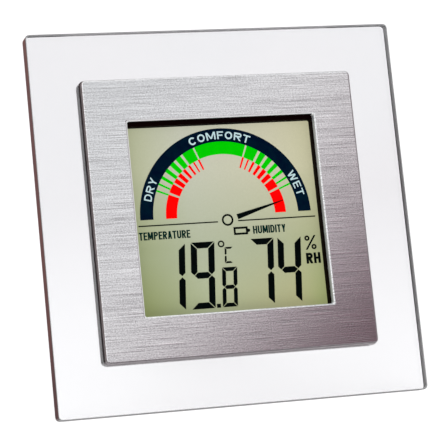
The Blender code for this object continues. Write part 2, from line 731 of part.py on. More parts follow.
def push_buttons():
    """Each button presses its key switch's plunger; both have their origin on the press axis."""
    inner_rear = HOUSING_REAR - HOUSING_WALL
    for level, height in BUTTON_HEIGHTS.items():
        key_rear = PART_BASE + KEY_TALL
        key = piece(f"key_switch_{level}",
                    block(KEY_SIZE, KEY_SIZE, PART_BASE, key_rear, at=(BUTTON_X, height), corner=0.4 * MM),
                    BLACK_PLASTIC, 0.5)
        well = PLUNGER_TOP - PLUNGER_TALL - GAP - BUTTON_TRAVEL
        cut(key, rod(PLUNGER_RADIUS + GAP, well, key_rear + CLEAR, at=(BUTTON_X, height)))
        piece(f"key_plunger_{level}", rod(PLUNGER_RADIUS, -PLUNGER_TALL, 0), (0.5, 0.5, 0.45, 1), 0.5,
              at=(BUTTON_X, PLUNGER_TOP, height))
        proud = HOUSING_REAR + BUTTON_PROUD - PLUNGER_TOP - GAP
        flange_rear = inner_rear - GAP - PLUNGER_TOP - GAP
        cap = rod(BUTTON_RADIUS, flange_rear - LAP, proud, sides=28)
        round_edges(cap, face_edges(cap, 1), BUTTON_PROUD / 2, 2)
        button = piece(f"button_{level}", cap, (0.16, 0.16, 0.17, 1), 0.5,
                       at=(BUTTON_X, PLUNGER_TOP + GAP, height))
        join(button, rod(BUTTON_RADIUS + PRESS_SHOULDER, flange_rear - PRESS_RING, flange_rear, sides=28))
        join(button, rod(STEM_RADIUS, 0, flange_rear - LAP, sides=16))


def unit_switch():
    """The slider changes the temperature unit. It rests at the top of its slot."""
    body_rear = PART_BASE + UNIT_BODY_TALL
    body = piece("unit_switch",
                 block(*UNIT_BODY, PART_BASE, body_rear, at=(UNIT_X, UNIT_HEIGHT)),
                 STEEL, 0.35, 0.9)
    cut(body, block(UNIT_FORK + 2 * GAP, UNIT_FORK + UNIT_TRAVEL + 2 * GAP,
                    body_rear - UNIT_FORK_DEEP - 1.3 * GAP, body_rear + CLEAR,
                    at=(UNIT_X, UNIT_HEIGHT)))
    knob_at = (UNIT_X, body_rear, UNIT_HEIGHT + UNIT_TRAVEL / 2)
    shield = HOUSING_REAR - HOUSING_WALL - GAP - body_rear
    proud = HOUSING_REAR + UNIT_PROUD - body_rear
    knob = piece("unit_slider", block(*UNIT_SHIELD, shield - UNIT_SHIELD_THICK, shield),
                 (0.16, 0.16, 0.17, 1), 0.5, at=knob_at)
    join(knob, block(UNIT_FORK, UNIT_FORK, -UNIT_FORK_DEEP, shield - LAP))
    join(knob, block(UNIT_KNOB, UNIT_KNOB, shield - LAP, proud, rear_rim=UNIT_PROUD / 2))


# Stand --------------------------------------------------------------------------------------------


def stand():
    """The leg's origin is on its hinge axis. Turned by zero it would lie folded in its recess."""
    pivot = (0, PIVOT_DEPTH, PIVOT_HEIGHT)
    plate = block(LEG_WIDTH, LEG_LENGTH, -LEG_THICK / 2, LEG_THICK / 2, at=(0, -LEG_LENGTH / 2))
    foot = [e for e in plate.edges
            if all(v.co.z < -LEG_LENGTH / 2 for v in e.verts)
            and abs(e.verts[0].co.y - e.verts[1].co.y) > LEG_THICK / 2]
    round_edges(plate, foot, LEG_CORNER, 6)
    round_edges(plate, face_edges(plate, -1), LEG_RIM, 3)
    round_edges(plate, face_edges(plate, 1), LEG_RIM, 3)
    leg = piece("stand_leg", plate, CLEAR_PLASTIC, 0.05, at=pivot, turn=STAND_OPEN)
    join(leg, crossbar(BARREL_RADIUS, -LEG_WIDTH / 2, LEG_WIDTH / 2))
    cut(leg, crossbar(PIN_BORE, -LEG_WIDTH, LEG_WIDTH))
    piece("stand_pin", crossbar(PIN_RADIUS, -PIN_LENGTH / 2, PIN_LENGTH / 2, sides=20), STEEL, 0.25, 1.0,
          at=pivot)


frame_plate()
bezel()
display_holder()
display_stack()
circuit_board()
board_parts()
screws()
rear_housing()
battery()
wires()
battery_lid()
push_buttons()
unit_switch()
stand()
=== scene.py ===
"""Looks of the desk thermo-hygrometer: materials, print and segments on the display, light, camera.

Everything is placed in the device's own axes, in metres: x to the right, y back from the front face
of the clear plate, z up along the plate. The matrix DEVICE carries them into the frame's axes."""

import json
import math

import bmesh
import bpy
from mathutils import Matrix, Vector


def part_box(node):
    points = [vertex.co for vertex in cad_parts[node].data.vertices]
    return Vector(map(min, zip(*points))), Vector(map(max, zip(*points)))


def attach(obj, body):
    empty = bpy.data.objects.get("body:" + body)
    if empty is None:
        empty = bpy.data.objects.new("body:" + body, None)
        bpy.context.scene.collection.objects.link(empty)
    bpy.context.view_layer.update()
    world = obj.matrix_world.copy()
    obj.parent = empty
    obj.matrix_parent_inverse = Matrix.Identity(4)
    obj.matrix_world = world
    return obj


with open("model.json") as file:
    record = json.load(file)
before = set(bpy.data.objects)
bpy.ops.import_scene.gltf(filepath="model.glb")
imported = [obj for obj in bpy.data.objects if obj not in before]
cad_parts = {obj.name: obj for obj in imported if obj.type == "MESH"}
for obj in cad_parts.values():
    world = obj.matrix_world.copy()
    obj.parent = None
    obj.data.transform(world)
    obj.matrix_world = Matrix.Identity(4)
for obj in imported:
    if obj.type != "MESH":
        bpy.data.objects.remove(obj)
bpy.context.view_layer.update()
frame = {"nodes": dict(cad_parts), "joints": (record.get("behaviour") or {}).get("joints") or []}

MM = 0.001
CAD_NODES = frame["nodes"]


# The device's axes, from the frame ----------------------------------------------------------------


def joint_axis(name):
    return next(Vector(j["axis"]).normalized() for j in frame["joints"] if j["name"] == name)


def box_middle(node):
    low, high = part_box(node)
    return (Vector(low) + Vector(high)) / 2


PLATE_THICK = 5 * MM
RIGHT = Vector((1, 0, 0))
UP = joint_axis("battery_lid_slide")
FRONT = joint_axis("button_upper_press")
PLATE_FRONT = box_middle("frame_plate") + FRONT * PLATE_THICK / 2
DEVICE = Matrix.Translation(PLATE_FRONT) @ Matrix((RIGHT, -FRONT, UP)).transposed().to_4x4()
TO_DEVICE = DEVICE.inverted()


def in_device(node):
    """A node's vertices in the device's axes."""
    return [TO_DEVICE @ vertex.co for vertex in CAD_NODES[node].data.vertices]


LCD_FACE = min(place.y for place in in_device("lcd_front_glass"))
LCD_DROP = (TO_DEVICE @ box_middle("lcd_front_glass")).z
LCD_HALF = 28 * MM
BEZEL_HALF = max(place.x for place in in_device("bezel"))
PLATE_HALF = 55 * MM
WINDOW_EDGE = 29.5 * MM


# Node trees ---------------------------------------------------------------------------------------


class NodeTree:
    """A node tree under construction. Most methods add a node and return what it puts out. Each
    value they take is either another node's output, which is linked, or a plain one, which is
    set."""

    def __init__(self, tree):
        self.tree = tree

    def node(self, kind, **settings):
        made = self.tree.nodes.new(kind)
        for name, value in settings.items():
            setattr(made, name, value)
        return made

    def feed(self, socket, value):
        """Links a node's output to a socket, or sets the socket to a plain value."""
        if isinstance(value, bpy.types.NodeSocket):
            self.tree.links.new(value, socket)
        elif socket.type == "RGBA":
            socket.default_value = (*value, 1)
        else:
            socket.default_value = value

    def noise(self, place, scale, detail=2.0, roughness=0.5):
        made = self.node("ShaderNodeTexNoise")
        self.feed(made.inputs["Vector"], place)
        self.feed(made.inputs["Scale"], scale)
        self.feed(made.inputs["Detail"], detail)
        self.feed(made.inputs["Roughness"], roughness)
        return made.outputs["Fac"]

    def spread(self, value, low, high, from_low=0.3, from_high=0.7):
        """Maps value from one range to another. Without a first range, value is a noise."""
        made = self.node("ShaderNodeMapRange")
        self.feed(made.inputs["Value"], value)
        self.feed(made.inputs["From Min"], from_low)
        self.feed(made.inputs["From Max"], from_high)
        self.feed(made.inputs["To Min"], low)
        self.feed(made.inputs["To Max"], high)
        return made.outputs["Result"]

    def step(self, value, none_at, full_at):
        """Goes evenly from 0 where value is none_at to 1 where it is full_at."""
        return self.spread(value, 0, 1, none_at, full_at)

    def ramp(self, value, stops):
        """Colours along value, from 0 to 1: stops are (position, colour)."""
        made = self.node("ShaderNodeValToRGB")
        self.feed(made.inputs["Fac"], value)
        points = made.color_ramp.elements
        while len(points) < len(stops):
            points.new(0.5)
        for point, (position, colour) in zip(points, stops):
            point.position = position
            point.color = (*colour, 1)
        return made.outputs["Color"]

    def mix(self, share, first, second):
        """The first colour where share is 0, and the second where it is 1."""
        made = self.node("ShaderNodeMix", data_type="RGBA")
        self.feed(made.inputs["Factor"], share)
        self.feed(made.inputs["A"], first)
        self.feed(made.inputs["B"], second)
        return made.outputs["Result"]

    def maths(self, operation, first, *others):
        """Applies an operation of two values to them all, one after another."""
        for other in others:
            made = self.node("ShaderNodeMath", operation=operation)
            self.feed(made.inputs[0], first)
            self.feed(made.inputs[1], other)
            first = made.outputs["Value"]
        return first

    def add(self, *values):
        return self.maths("ADD", *values)

    def times(self, *values):
        return self.maths("MULTIPLY", *values)

    def largest(self, *values):
        return self.maths("MAXIMUM", *values)

    def opposite(self, share):
        return self.maths("SUBTRACT", 1.0, share)

    def unsigned(self, value):
        return self.maths("ABSOLUTE", value, 0.0)

    def dot(self, first, second):
        made = self.node("ShaderNodeVectorMath", operation="DOT_PRODUCT")
        self.feed(made.inputs[0], first)
        self.feed(made.inputs[1], second)
        return made.outputs["Value"]

    def rays(self):
        return self.node("ShaderNodeLightPath").outputs

    def mirrored(self, rays):
        """1 for rays that gloss sends back, and 0 for others, such as those bent by clear sheet."""
        return self.times(rays["Is Glossy Ray"], rays["Is Reflection Ray"])


class Paint(NodeTree):
    """A material under construction."""

    def __init__(self, name):
        self.material = bpy.data.materials.new(name)
        self.material.use_nodes = True
        super().__init__(self.material.node_tree)
        self.shader = self.tree.nodes["Principled BSDF"]

    def own_place(self, scale=(1, 1, 1)):
        """Coordinates in metres in the piece's own axes, stretched by scale."""
        return self.stretched(self.node("ShaderNodeTexCoord").outputs["Object"], scale)

    def place(self, scale=(1, 1, 1)):
        """Coordinates in metres in the device's axes, stretched by scale."""
        move = self.node("ShaderNodeMapping")
        self.feed(move.inputs["Location"], TO_DEVICE.to_translation())
        self.feed(move.inputs["Rotation"], TO_DEVICE.to_euler())
        self.feed(move.inputs["Vector"], self.node("ShaderNodeTexCoord").outputs["Object"])
        return self.stretched(move.outputs["Vector"], scale)

    def stretched(self, place, scale):
        made = self.node("ShaderNodeMapping")
        self.feed(made.inputs["Scale"], scale)
        self.feed(made.inputs["Vector"], place)
        return made.outputs["Vector"]

    def position(self):
        """Coordinates in the device's axes one by one, as outputs X, Y and Z."""
        made = self.node("ShaderNodeSeparateXYZ")
        self.feed(made.inputs["Vector"], self.place())
        return made.outputs

    def square_reach(self, position):
        """Half the side of the square round the plate's middle that passes through the place."""
        return self.largest(self.unsigned(position["X"]), self.unsigned(position["Z"]))

    def facing(self, way):
        """How squarely the surface faces a direction, from -1 to 1."""
        return self.dot(self.node("ShaderNodeTexCoord").outputs["Normal"], way)

    def bump(self, height, distance, strength=1.0):
        made = self.node("ShaderNodeBump")
        self.feed(made.inputs["Height"], height)
        self.feed(made.inputs["Distance"], distance)
        self.feed(made.inputs["Strength"], strength)
        self.feed(self.shader.inputs["Normal"], made.outputs["Normal"])

    def let_light_through(self, colour):
        """Lamp light passes straight through, so what is behind isn't in shadow."""
        window = self.node("ShaderNodeBsdfTransparent")
        self.feed(window.inputs["Color"], colour)
        both = self.node("ShaderNodeMixShader")
        self.feed(both.inputs["Fac"], self.rays()["Is Shadow Ray"])
        self.feed(both.inputs[1], self.shader.outputs["BSDF"])
        self.feed(both.inputs[2], window.outputs["BSDF"])
        output = self.tree.nodes["Material Output"]
        self.feed(output.inputs["Surface"], both.outputs["Shader"])

    def set(self, **values):
        """Feeds the shader's sockets, with underscores for the spaces in their names."""
        for name, value in values.items():
            self.feed(self.shader.inputs[name.replace("_", " ")], value)
        return self.material


# Camera, floor and light --------------------------------------------------------------------------

EYE_FROM_PLATE = Vector((-0.15635, -0.52209, 0.11108))
EYE_TURN = (math.radians(78.19), 0, math.radians(-16.51))
LENS = 155.0
SENSOR_WIDTH = 36
NEAR_LIMIT = 0.01

# Each lamp's name, the direction its light comes from, and its strength.
LAMPS = [("overhead", (0, 0, 1), 2.35), ("front", (-0.3, -1, 0.6), 1.25),
         ("back", (0.3, 1, 0.6), 1.2)]
# The room as fill light, as the camera sees it, and as what light would bring through clear sheet.
FILL = (0.28, 0.28, 0.285)
WALLS = (1, 1, 1)
DARK = (0, 0, 0)
# Gloss mirrors the room as colours along this slope, from its lower right to its upper left.
MIRROR_SLOPE = (-0.85, 0, 1)
MIRROR_STOPS = [(0.56, (0.075, 0.01, 0.03)), (0.5825, (0.44, 0.32, 0.37)),
                (0.6025, (1.04, 1.03, 1.04)), (0.64, (0.86, 0.87, 0.89)),
                (0.7, (0.76, 0.78, 0.80)), (0.9, (1.2, 1.2, 1.2))]

FLOOR_HALF = 4
FLOOR_WHITE = (0.79, 0.79, 0.79)
FLOOR_CLOUD = (0.7, 0.7, 0.7)
FLOOR_MIRRORED = (0.2, 0.18, 0.19)


def camera():
    data = bpy.data.cameras.new("camera")
    data.lens = LENS
    data.sensor_width = SENSOR_WIDTH
    data.clip_start = NEAR_LIMIT
    eye = bpy.data.objects.new("camera", data)
    eye.location = PLATE_FRONT + EYE_FROM_PLATE
    eye.rotation_euler = EYE_TURN
    bpy.context.scene.collection.objects.link(eye)
    bpy.context.scene.camera = eye


def lamp(name, comes_from, strength):
    """Even light from one side. It casts no shadow. Gloss mirrors the room and not the lamp. It
    doesn't shine through rough clear sheet, because its light already passes straight through."""
    data = bpy.data.lights.new(name, "SUN")
    data.energy = strength
    data.use_shadow = False
    obj = bpy.data.objects.new(name, data)
    obj.rotation_euler = (-Vector(comes_from)).to_track_quat("-Z", "Y").to_euler()
    obj.visible_glossy = False
    obj.visible_transmission = False
    bpy.context.scene.collection.objects.link(obj)


def studio():
    """A white room with dim fill light. Through clear sheet it is white to the eye, and dark to the
    light on the floor, which the lamps light already."""
    world = bpy.data.worlds.new("studio")
    world.use_nodes = True
    room = NodeTree(world.node_tree)
    slope = room.dot(room.node("ShaderNodeTexCoord").outputs["Generated"], MIRROR_SLOPE)
    rays = room.rays()
    light = room.mix(room.mirrored(rays), FILL, room.ramp(room.step(slope, -1, 1), MIRROR_STOPS))
    light = room.mix(rays["Is Transmission Ray"], light, DARK)
    no_bounce = room.maths("LESS_THAN", rays["Diffuse Depth"], 0.5)
    seen = room.largest(rays["Is Camera Ray"], room.times(rays["Is Transmission Ray"], no_bounce))
    room.feed(world.node_tree.nodes["Background"].inputs["Color"], room.mix(seen, light, WALLS))
    bpy.context.scene.world = world
    bpy.context.scene.view_settings.view_transform = "Standard"
    for name, comes_from, strength in LAMPS:
        lamp(name, comes_from, strength)


def paper():
    """The pale floor, with a faint cloudiness. Gloss mirrors it as a dim table."""
    made = Paint("paper")
    cloud = made.noise(made.own_place(), scale=8, detail=3)
    shade = made.mix(made.spread(cloud, 0, 0.01), FLOOR_WHITE, FLOOR_CLOUD)
    shade = made.mix(made.mirrored(made.rays()), shade, FLOOR_MIRRORED)
    return made.set(Base_Color=shade, Roughness=0.9, Specular_IOR_Level=0.0)


def floor():
    bm = bmesh.new()
    bmesh.ops.create_grid(bm, x_segments=1, y_segments=1, size=FLOOR_HALF)
    mesh = bpy.data.meshes.new("floor")
    bm.to_mesh(mesh)
    bm.free()
    obj = bpy.data.objects.new("floor", mesh)
    bpy.context.scene.collection.objects.link(obj)
    mesh.materials.append(paper())


# Materials of the CAD nodes -----------------------------------------------------------------------

ACRYLIC_IOR = 1.49
SHEET_TINTS = ((0.775, 0.775, 0.795), (0.79, 0.78, 0.797))
# Painted light: the sheet is paler towards its foot, against the shade on the floor seen through
# it.
SHEET_FOOT_PAINTED_LIGHT = (0.95, 0.95, 0.965)
FOOT_FROM, FOOT_TO = 5 * MM, -50 * MM
HOLE_FROM, HOLE_TO = BEZEL_HALF + 3 * MM, BEZEL_HALF + 2 * MM
SHEET_SHADE = (0.94, 0.94, 0.95)
# Painted shade: the clear sheet's rims and edges are opaque grey, in place of the dark that light
# bent in its clear edges gives them.
RIM_PAINTED_SHADE = (0.13, 0.13, 0.13)
EDGE_PAINTED_SHADE = (0.36, 0.36, 0.36)
# The edges of the hole round the bezel: painted shade where they stand upright, painted light where
# they lie level.
SAWN_UPRIGHT_PAINTED_SHADE = (0.03, 0.02, 0.024)
SAWN_LEVEL_PAINTED_LIGHT = (0.4, 0.38, 0.39)
# Painted reflection of brown surroundings on the plate's left edge, from its foot to its top.
PAINTED_REFLECTION_BROWNS = [(0.1, (0.085, 0.028, 0.03)), (0.45, (0.17, 0.055, 0.045)),
               (0.75, (0.15, 0.055, 0.055)), (1.0, (0.24, 0.09, 0.055))]

BRUSHED_STOPS = [(0.36, (0.48, 0.475, 0.48)), (0.5, (0.765, 0.765, 0.77)),
                 (0.64, (0.95, 0.95, 0.95))]
# The bezel's outer sides: painted shade where they face left or up, painted light where they face
# right or down.
PAINTED_SHADE_BEZEL_SIDE = (0.13, 0.098, 0.1)
PAINTED_LIGHT_BEZEL_SIDE = (0.36, 0.33, 0.345)
WINDOW_BEVEL = (0.52, 0.55, 0.6)
# Painted light on the window's upper and left bevels, and painted shadow on the wall under the
# upper one.
WINDOW_BEVEL_PAINTED_LIGHT = (0.78, 0.78, 0.8)
WINDOW_TOP_WALL_PAINTED_SHADOW = (0.004, 0.002, 0.002)

# The display's own greenish grey with painted light and shade, from left to right, along its lower
# edge, its middle and its upper half. The painted shade darkens its lower left.
LCD_LOWER_PAINTED_SHADING = [(0.0, (0.25, 0.29, 0.11)), (0.35, (0.40, 0.44, 0.27)), (0.85, (0.42, 0.41, 0.22)),
             (0.97, (0.36, 0.40, 0.17))]
LCD_MIDDLE_PAINTED_SHADING = [(0.0, (0.30, 0.34, 0.18)), (0.35, (0.385, 0.42, 0.30)), (0.75, (0.375, 0.40, 0.26)),
              (1.0, (0.38, 0.40, 0.22))]
LCD_UPPER_PAINTED_SHADING = [(0.0, (0.42, 0.44, 0.28)), (0.3, (0.49, 0.50, 0.405)), (0.8, (0.53, 0.51, 0.37)),
             (1.0, (0.54, 0.52, 0.34))]
LCD_GRAIN = (0.30, 0.32, 0.2)

HANDLED_LIGHTER = 1.4
HANDLED_ROUGHNESS = 0.06

# Where the cell's band starts and its sleeve ends: each change of colour runs between two places.
SLEEVE_BAND_FROM, SLEEVE_BAND_TO = 12.9 * MM, 13.1 * MM
SLEEVE_END_FROM, SLEEVE_END_TO = 22.25 * MM, 22.35 * MM


def acrylic(name):
    """Clear sheet with smears and scratches: the material begun, its tint and its roughness."""
    made = Paint(name)
    smear = made.noise(made.place(), scale=60, detail=4, roughness=0.6)
    scratch = made.noise(made.place((40, 1, 900)), scale=3)
    rough = made.add(made.spread(smear, 0.0, 0.03), made.spread(scratch, 0.0, 0.015))
    cloud = made.noise(made.place(), scale=28)
    return made, made.mix(made.spread(cloud, 0, 1), *SHEET_TINTS), rough


def clear_leg():
    made, tint, rough = acrylic("clear_leg")
    made.let_light_through(SHEET_SHADE)
    return made.set(Base_Color=tint, Roughness=rough, Transmission_Weight=1.0, IOR=ACRYLIC_IOR)


def clear_plate():
    """Clear sheet with edges that can't be seen through, coloured with painted light and shade.
    From outside, its left edge is brown, a painted reflection of brown surroundings, and its rims
    are dark grey painted shade. The other edges are grey painted shade. Those of the hole round the
    bezel are dark with painted shade at its two sides and pale with painted light above and below.
    Towards its foot the sheet is paler, painted light against the shade on the floor seen through
    it."""
    made, tint, rough = acrylic("clear_plate")
    outside = made.opposite(made.node("ShaderNodeNewGeometry").outputs["Backfacing"])
    position = made.position()
    # Painted light: paler towards the foot.
    tint = made.mix(made.step(position["Z"], FOOT_FROM, FOOT_TO), tint, SHEET_FOOT_PAINTED_LIGHT)

    # Painted shade on the rims and edges: opaque dark grey in place of clear sheet.
    flat = made.unsigned(made.facing(FRONT))
    edge = made.step(flat, 0.4, 0.3)
    rim = made.times(made.step(flat, 0.985, 0.93), outside)
    solid = made.largest(rim, edge)
    colour = made.mix(edge, RIM_PAINTED_SHADE, EDGE_PAINTED_SHADE)

    # Painted shade on the hole's upright edges and painted light on its level ones.
    sawn = made.step(made.square_reach(position), HOLE_FROM, HOLE_TO)
    level = made.step(made.unsigned(made.facing(UP)), 0.3, 0.7)
    colour = made.mix(sawn, colour, made.mix(level, SAWN_UPRIGHT_PAINTED_SHADE, SAWN_LEVEL_PAINTED_LIGHT))

    # Painted reflection of brown surroundings on the left edge, in uneven streaks up its height.
    reflection_streaks = made.noise(made.place((1, 300, 40)), scale=2, detail=3)
    height = made.add(made.spread(position["Z"], 0.15, 0.85, -PLATE_HALF, PLATE_HALF),
                      made.spread(reflection_streaks, -0.15, 0.15))
    left = made.step(made.facing(RIGHT), -0.7, -0.9)
    brown = made.times(left, outside, made.opposite(sawn))
    colour = made.mix(brown, colour, made.ramp(height, PAINTED_REFLECTION_BROWNS))

    made.let_light_through(SHEET_SHADE)
    return made.set(Base_Color=made.mix(solid, tint, colour),
                    Transmission_Weight=made.opposite(solid),
                    Roughness=made.add(rough, made.times(solid, 0.3)), IOR=ACRYLIC_IOR,
                    Specular_IOR_Level=0.1)


def brush_grain(made):
    """Short fine strokes along x, stronger in some patches than in others, and fine specks."""
    lines = made.noise(made.place((16, 900, 6400)), scale=1, detail=0)
    strokes = made.noise(made.place((110, 900, 5200)), scale=1, detail=0)
    patch = made.noise(made.place((110, 110, 600)), scale=1, detail=1)
    speck = made.noise(made.place((2300, 2300, 2900)), scale=1, detail=1)
    streaks = made.add(made.times(lines, 0.55), made.times(strokes, 0.45), -0.5)
    streaks = made.times(streaks, made.spread(patch, 0.15, 0.85))
    specks = made.times(made.add(speck, -0.5), 0.38)
    return made.add(streaks, specks, 0.5)


def brushed_aluminium():
    """Brushed on the face and the bevels, and dull on the sides, with painted shade where the sides
    face left or up and painted light where they face right or down. The window's upper and left
    bevels are pale with painted light, and the wall under the upper one is black with painted
    shadow."""
    made = Paint("brushed_aluminium")
    grain = brush_grain(made)
    inner = made.step(made.square_reach(made.position()), WINDOW_EDGE + MM, WINDOW_EDGE)
    to_right, to_top = made.facing(RIGHT), made.facing(UP)
    turned_left = made.step(to_right, -0.35, -0.6)
    turned_right = made.step(to_right, 0.1, 0.4)
    turned_down = made.step(to_top, -0.3, -0.6)
    ahead = made.opposite(made.largest(turned_left, turned_right))
    face = made.step(made.facing(FRONT), 0.35, 0.7)
    brushed = made.times(face, made.largest(ahead, inner))

    # Painted shade on the sides facing left or up, painted light on those facing right or down.
    outer_side = made.mix(made.largest(turned_right, turned_down), PAINTED_SHADE_BEZEL_SIDE, PAINTED_LIGHT_BEZEL_SIDE)
    side = made.mix(inner, outer_side, WINDOW_BEVEL)
    tone = made.mix(brushed, side, made.ramp(grain, BRUSHED_STOPS))
    # Painted light on the window's upper and left bevels.
    pale = made.times(inner, made.largest(made.step(to_top, -0.05, -0.3), turned_right))
    tone = made.mix(pale, tone, WINDOW_BEVEL_PAINTED_LIGHT)
    # Painted shadow on the wall under the window's upper bevel.
    tone = made.mix(made.times(inner, made.step(to_top, -0.8, -0.93)), tone, WINDOW_TOP_WALL_PAINTED_SHADOW)

    made.bump(grain, 0.03 * MM, strength=0.5)
    metal = made.maths("SUBTRACT", made.spread(brushed, 0.35, 1.0, 0, 1), pale)
    rough = made.add(made.spread(grain, 0.2, 0.12), made.spread(brushed, 0.2, 0, 0, 1))
    return made.set(Base_Color=tone, Metallic=made.largest(metal, 0.0), Roughness=rough)


def moulded_plastic(name, colour, roughness=0.55, texture=0.02 * MM, shine=0.5):
    """Fine sparked texture with faint handling marks."""
    made = Paint(name)
    place = made.place()
    pits = made.noise(place, scale=3500)
    marks = made.noise(place, scale=90, detail=4, roughness=0.6)
    lighter = tuple(min(1, part * HANDLED_LIGHTER) for part in colour)
    shade = made.mix(made.spread(marks, 0, 1), colour, lighter)
    made.bump(pits, texture, strength=0.5)
    rough = made.spread(marks, roughness - HANDLED_ROUGHNESS, roughness + HANDLED_ROUGHNESS)
    return made.set(Base_Color=shade, Roughness=rough, Specular_IOR_Level=shine)


def plated_steel():
    made = Paint("plated_steel")
    place = made.place()
    cloud = made.noise(place, scale=300, detail=3)
    fine = made.noise(place, scale=2500)
    shade = made.mix(made.spread(cloud, 0, 1), (0.5, 0.5, 0.5), (0.68, 0.67, 0.65))
    made.bump(fine, 0.01 * MM, strength=0.4)
    return made.set(Base_Color=shade, Metallic=1.0, Roughness=made.spread(cloud, 0.2, 0.38))


def display_ground():
    """The greenish grey that reflects through the glass, with painted light and shade: darker and
    greener at its lower left.
    """
    made = Paint("display_ground")
    position = made.position()
    across = made.step(position["X"], -LCD_HALF, LCD_HALF)
    rise = made.step(position["Z"], -LCD_HALF, LCD_HALF)
    # Painted light and shade across the display, darkest at its lower left.
    ground = made.mix(made.step(rise, 0.05, 0.3), made.ramp(across, LCD_LOWER_PAINTED_SHADING),
                      made.ramp(across, LCD_MIDDLE_PAINTED_SHADING))
    ground = made.mix(made.step(rise, 0.35, 0.75), ground, made.ramp(across, LCD_UPPER_PAINTED_SHADING))
    grain = made.noise(made.place(), scale=1800)
    ground = made.mix(made.spread(grain, 0, 0.12), ground, LCD_GRAIN)
    made.bump(grain, 0.004 * MM, strength=0.3)
    return made.set(Base_Color=ground, Roughness=0.5, Specular_IOR_Level=0.15)


def ink(name, colour, fringe):
    """Printed or switched-on ink, a little uneven."""
    made = Paint(name)
    patch = made.noise(made.own_place(), scale=500, detail=3)
    shade = made.mix(made.spread(patch, 0, 0.6), colour, fringe)
    return made.set(Base_Color=shade, Roughness=0.4, Specular_IOR_Level=0.02)


def board_green():
    """Solder mask over square-cornered tracks."""
    made = Paint("board_green")
    place = made.place()
    tracks = made.node("ShaderNodeTexBrick")
    made.feed(tracks.inputs["Vector"], place)
    made.feed(tracks.inputs["Scale"], 450)
    made.feed(tracks.inputs["Mortar Size"], 0.06)
    cloud = made.noise(place, scale=200, detail=3)
    mask = made.mix(made.spread(cloud, 0, 1), (0.01, 0.10, 0.035), (0.02, 0.15, 0.05))
    shade = made.mix(tracks.outputs["Fac"], mask, (0.05, 0.26, 0.10))
    made.bump(tracks.outputs["Fac"], 0.02 * MM, strength=0.5)
    return made.set(Base_Color=shade, Roughness=0.35, Coat_Weight=0.3)


def cell_sleeve():
    """Shrunk sleeve, dark grey with a copper-coloured band, and bare metal at the positive end."""
    made = Paint("cell_sleeve")
    along = made.position()["X"]
    band = made.step(along, SLEEVE_BAND_FROM, SLEEVE_BAND_TO)
    metal = made.step(along, SLEEVE_END_FROM, SLEEVE_END_TO)
    cloud = made.noise(made.place(), scale=150, detail=3)
    sleeve = made.mix(band, (0.03, 0.03, 0.035), (0.45, 0.26, 0.05))
    sleeve = made.mix(made.spread(cloud, 0, 0.15), sleeve, (0.3, 0.3, 0.3))
    made.bump(cloud, 0.02 * MM, strength=0.3)
    return made.set(Base_Color=made.mix(metal, sleeve, (0.6, 0.6, 0.6)), Metallic=metal,
                    Roughness=0.3)


def dress(material, *nodes):
    """Gives CAD nodes a material."""
    for name in nodes:
        slots = CAD_NODES[name].data.materials
        slots.clear()
        slots.append(material)


def dress_frame():
    steel = plated_steel()
    black = moulded_plastic("black_plastic", (0.0025, 0.0004, 0.0004), 0.65, shine=0.02)
    grey = moulded_plastic("housing_plastic", (0.035, 0.035, 0.038), 0.6, 0.03 * MM)
    dress(clear_plate(), "frame_plate")
    dress(clear_leg(), "stand_leg")
    dress(brushed_aluminium(), "bezel")
    dress(black, "display_holder", "key_switch_upper", "key_switch_lower")
    dress(grey, "rear_housing", "battery_lid")
    dress(moulded_plastic("button_plastic", (0.11, 0.11, 0.115), 0.45),
          "button_upper", "button_lower", "unit_slider")
    dress(display_ground(), "lcd_front_glass")
    dress(moulded_plastic("rear_glass", (0.5, 0.52, 0.42), 0.15, 0.002 * MM), "lcd_rear_glass")
    dress(moulded_plastic("reflector_film", (0.6, 0.62, 0.55), 0.3, 0.004 * MM), "lcd_reflector")
    dress(moulded_plastic("strip_rubber", (0.25, 0.05, 0.04), 0.7), "contact_strip")
    dress(board_green(), "circuit_board")
    dress(moulded_plastic("chip_resin", (0.012, 0.012, 0.013), 0.25, 0.01 * MM), "controller_chip")
    dress(moulded_plastic("ivory_plastic", (0.62, 0.6, 0.52), 0.45),
          "humidity_sensor", "key_plunger_upper", "key_plunger_lower")
    dress(moulded_plastic("bead_lacquer", (0.2, 0.04, 0.015), 0.25, 0.005 * MM),
          "temperature_sensor")
    dress(cell_sleeve(), "battery_cell")
    dress(moulded_plastic("black_lead", (0.015, 0.015, 0.015), 0.5), "lead_negative")
    dress(moulded_plastic("red_lead", (0.42, 0.01, 0.01), 0.5), "lead_positive")
    screws = [name for name in CAD_NODES if "_screw_" in name]
    dress(steel, "clock_crystal", "contact_positive", "contact_negative", "contact_spring",
          "stand_pin", "unit_switch", *screws)


# Drawing on the display ---------------------------------------------------------------------------
# Outlines are lists of (x, z) points in millimetres from the middle of the display.

PRINT_THICK = 0.02
LAYER_GAP = 0.01


def plate_of(bm, outline):
    """Adds a thin plate with the given outline."""
    corners = [bm.verts.new((x, 0, z)) for x, z in outline]
    face = bm.faces.new(corners)
    raised = bmesh.ops.extrude_face_region(bm, geom=[face])["geom"]
    moved = [v for v in raised if isinstance(v, bmesh.types.BMVert)]
    bmesh.ops.translate(bm, verts=moved, vec=(0, PRINT_THICK, 0))


